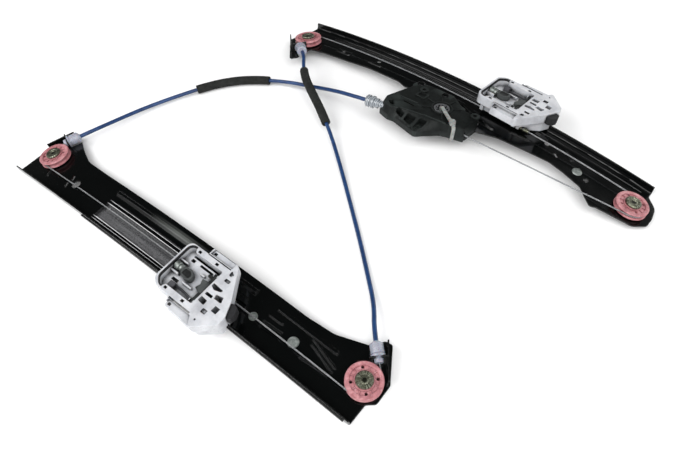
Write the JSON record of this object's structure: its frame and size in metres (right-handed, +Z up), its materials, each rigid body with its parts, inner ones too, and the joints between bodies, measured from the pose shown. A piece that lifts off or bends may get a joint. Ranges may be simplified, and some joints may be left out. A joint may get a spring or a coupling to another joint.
{
  "type": "window regulator",
  "caption": "Dual rail cable window regulator: two arched rails with end pulleys, a glass carrier on each, a cable drum housing and two sheathed cables.",
  "frame": {"origin": "centre of the assembly's footprint, on the surface that it lies on", "axes": "+Z up off the surface, +X along the slave rail towards the lower end of both rails' travel, +Y from the slave rail towards the drive rail"},
  "size_m": [0.6634, 0.4974, 0.0549],
  "materials": {
    "rail_paint": "black gloss cathodic dip paint on pressed steel",
    "zinc": "yellow passivated zinc",
    "pulley_plastic": "salmon pink acetal",
    "ferrule_plastic": "translucent white nylon",
    "cable_steel": "galvanised stranded steel, greased",
    "carrier_nylon": "natural milky nylon",
    "rubber": "matt black rubber",
    "screw_steel": "plated steel, knurled",
    "dark_plastic": "dark grey moulded plastic",
    "spring_plastic": "black coated spring wire in its moulded foot",
    "housing_plastic": "charcoal glass filled nylon",
    "drum_plastic": "dark acetal",
    "clear_plastic": "clear ribbed nylon over a spring",
    "tie_nylon": "natural nylon",
    "sheath_blue": "blue extruded sheath",
    "foam": "dark grey closed cell foam"
  },
  "bodies": {
    "rails": {"slave_rail": "rail_paint", "slave_left_axle": "zinc", "slave_right_axle": "zinc", "slave_pulley_washers": "zinc", "slave_left_ferrule": "ferrule_plastic", "slave_right_ferrule": "ferrule_plastic", "up_cable_rail_run": "cable_steel", "link_cable_slave_run": "cable_steel", "slave_rail_plugs": "screw_steel", "drive_rail": "rail_paint", "drive_left_axle": "zinc", "drive_right_axle": "zinc", "drive_pulley_washers": "zinc", "drive_left_ferrule": "ferrule_plastic", "link_cable_drive_run": "cable_steel", "down_cable": "cable_steel", "up_cable_drum_run": "cable_steel", "drum_housing": "housing_plastic", "housing_adjuster": "clear_plastic", "zip_tie": "tie_nylon", "housing_rivets": "rail_paint", "drive_rail_plug": "screw_steel", "up_cable_sheath": "sheath_blue", "up_sheath_sleeve": "foam", "link_cable_sheath": "sheath_blue", "link_sheath_sleeve": "foam"},
    "slave_carriage": {"slave_carrier": "carrier_nylon", "slave_slider": "carrier_nylon", "slave_cable_nipples": "zinc", "slave_tray_seal": "rubber", "slave_bumper": "rubber", "slave_clamp_screw": "screw_steel", "slave_clamp_pad": "dark_plastic", "slave_lever_spring": "spring_plastic"},
    "slave_lever": {"slave_clamp_lever": "dark_plastic"},
    "slave_left_wheel": {"slave_left_pulley": "pulley_plastic"},
    "slave_right_wheel": {"slave_right_pulley": "pulley_plastic"},
    "drive_carriage": {"drive_carrier": "carrier_nylon", "drive_slider": "carrier_nylon", "drive_cable_nipples": "zinc", "drive_tray_seal": "rubber", "drive_bumper": "rubber", "drive_clamp_screw": "screw_steel", "drive_clamp_pad": "dark_plastic", "drive_lever_spring": "spring_plastic"},
    "drive_lever": {"drive_clamp_lever": "dark_plastic"},
    "drive_left_wheel": {"drive_left_pulley": "pulley_plastic"},
    "drive_right_wheel": {"drive_right_pulley": "pulley_plastic"},
    "drum": {"cable_drum": "drum_plastic", "drum_cable_turns": "cable_steel"}
  },
  "joints": [
    {"name": "slave_travel", "type": "hinge", "parent": "rails", "child": "slave_carriage", "pos_m": [-0.06142, -0.09491, -1.82591], "axis": [0, 0.9989, 0.0459], "range_deg": [-7.39, 3.63]},
    {"name": "slave_lever_tilt", "type": "hinge", "parent": "slave_carriage", "child": "slave_lever", "pos_m": [0.02034, -0.20999, 0.043], "axis": [0, 0.9989, 0.0459], "range_deg": [0, 12], "stiffness_Nm_per_rad": 0.05},
    {"name": "drive_travel", "type": "hinge", "parent": "rails", "child": "drive_carriage", "pos_m": [0.03657, -0.10237, -1.80292], "axis": [0.046, 0.9874, -0.1514], "range_deg": [-7.39, 3.63]},
    {"name": "drive_lever_tilt", "type": "hinge", "parent": "drive_carriage", "child": "drive_lever", "pos_m": [0.13876, 0.21079, 0.04223], "axis": [0.046, 0.9874, -0.1514], "range_deg": [0, 12], "stiffness_Nm_per_rad": 0.05},
    {"name": "slave_left_pulley_spin", "type": "hinge", "parent": "rails", "child": "slave_left_wheel", "pos_m": [-0.30242, -0.17935, 0.01244], "axis": [-0.1298, -0.0455, 0.9905], "range_deg": [-813, 401]},
    {"name": "slave_right_pulley_spin", "type": "hinge", "parent": "rails", "child": "slave_right_wheel", "pos_m": [0.19698, -0.17925, 0.01008], "axis": [0.1392, -0.0454, 0.9892], "range_deg": [-813, 401]},
    {"name": "drive_left_pulley_spin", "type": "hinge", "parent": "rails", "child": "drive_left_wheel", "pos_m": [-0.19247, 0.18727, 0.01598], "axis": [-0.1234, 0.1561, 0.98], "range_deg": [-401, 813]},
    {"name": "drive_right_pulley_spin", "type": "hinge", "parent": "rails", "child": "drive_right_wheel", "pos_m": [0.30637, 0.1637, 0.01399], "axis": [0.1454, 0.1434, 0.9789], "range_deg": [-401, 813]},
    {"name": "drum_spin", "type": "hinge", "parent": "rails", "child": "drum", "pos_m": [0.06039, 0.1523, 0.02999], "axis": [0.0135, 0.151, 0.9884], "range_deg": [-357, 724]}
  ],
  "couplings": [
    {"joint": "drive_travel", "follows": "slave_travel", "ratio": 1},
    {"joint": "slave_left_pulley_spin", "follows": "slave_travel", "ratio": 109.82},
    {"joint": "slave_right_pulley_spin", "follows": "slave_travel", "ratio": 109.82},
    {"joint": "drive_left_pulley_spin", "follows": "slave_travel", "ratio": -109.82},
    {"joint": "drive_right_pulley_spin", "follows": "slave_travel", "ratio": -109.82},
    {"joint": "drum_spin", "follows": "slave_travel", "ratio": -97.684}
  ]
}
